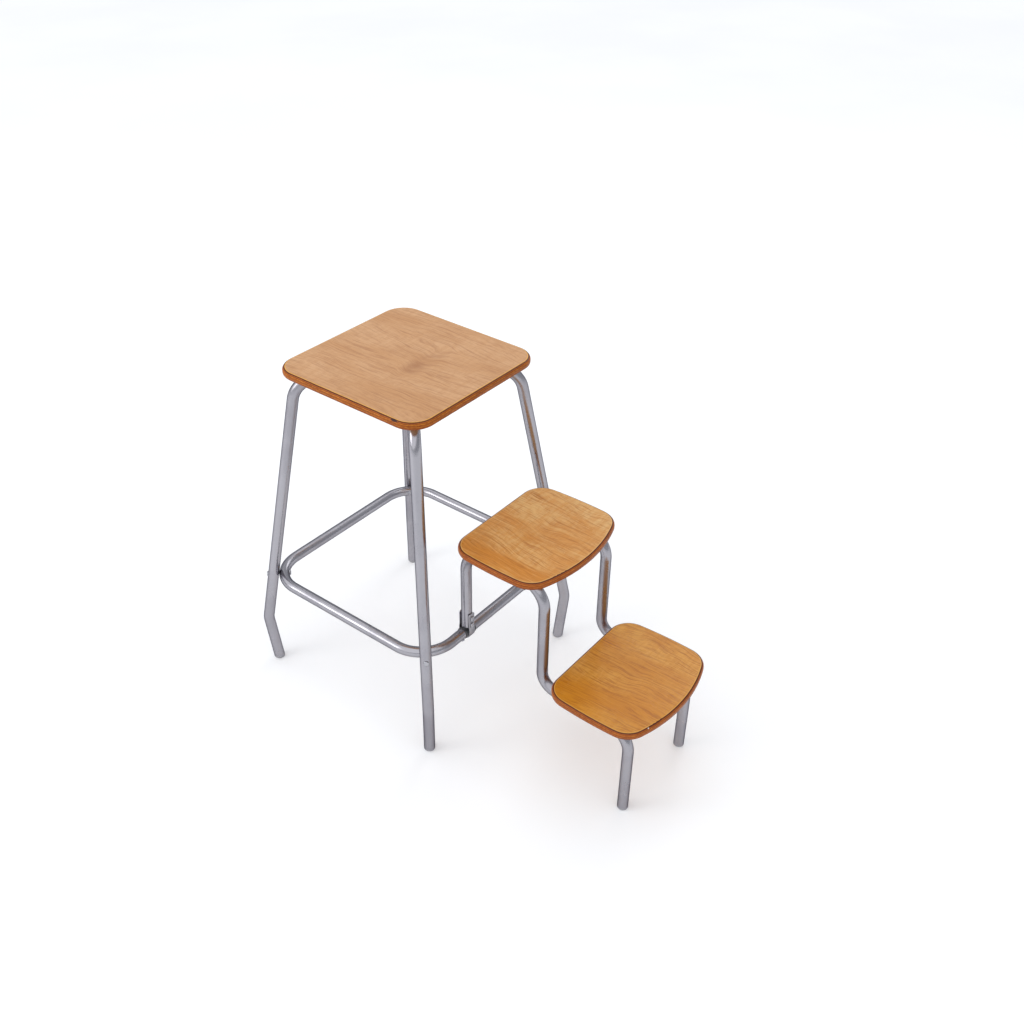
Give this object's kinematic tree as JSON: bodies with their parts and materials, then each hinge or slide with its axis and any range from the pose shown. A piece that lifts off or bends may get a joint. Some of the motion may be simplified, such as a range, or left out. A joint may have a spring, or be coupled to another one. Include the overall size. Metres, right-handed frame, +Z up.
{
  "type": "step stool",
  "caption": "Square plywood stool on four splayed tube legs, with a hinged step unit of two plywood treads that swings up and folds away under the seat.",
  "frame": {"origin": "middle of the whole footprint, on the floor", "axes": "+Z up; -Y towards the person who climbs, the way the steps reach out; +X to that person's right as they face the seat"},
  "size_m": [0.4006, 0.7498, 0.6],
  "materials": {
    "seat_plywood": "clear lacquer over pale birch plywood, red-brown sealed edge",
    "tread_plywood": "amber lacquer over birch plywood, red-brown sealed edge",
    "silver_enamel": "satin silver-grey",
    "zinc_steel": "dull zinc",
    "grey_plastic": "matte grey",
    "black_plastic": "matte black"
  },
  "bodies": {
    "stool": {"seat_board": "seat_plywood", "seat_screws": "zinc_steel", "rail_ring": "silver_enamel", "rail_bolts": "zinc_steel", "rail_nuts": "zinc_steel", "rail_stop_screws": "zinc_steel", "leg_front_left": "silver_enamel", "leg_front_right": "silver_enamel", "leg_rear_left": "silver_enamel", "leg_rear_right": "silver_enamel", "foot_plug_front_left": "grey_plastic", "foot_plug_front_right": "grey_plastic", "foot_plug_rear_left": "grey_plastic", "foot_plug_rear_right": "grey_plastic"},
    "step_unit": {"middle_tread": "tread_plywood", "lower_tread": "tread_plywood", "middle_tread_screws": "zinc_steel", "lower_tread_screws": "zinc_steel", "side_tube_left": "silver_enamel", "side_tube_right": "silver_enamel", "step_foot_plug_left": "grey_plastic", "step_foot_plug_right": "grey_plastic", "hinge_strap_left": "zinc_steel", "hinge_strap_right": "zinc_steel", "hinge_liner_left": "black_plastic", "hinge_liner_right": "black_plastic", "hinge_rivets_left": "zinc_steel", "hinge_rivets_right": "zinc_steel"}
  },
  "joints": [
    {"name": "step_unit_fold", "type": "hinge", "parent": "stool", "child": "step_unit", "pos_m": [0, -0.00815, 0.193], "axis": [-1, 0, 0], "range_deg": [0, 179.2]}
  ]
}
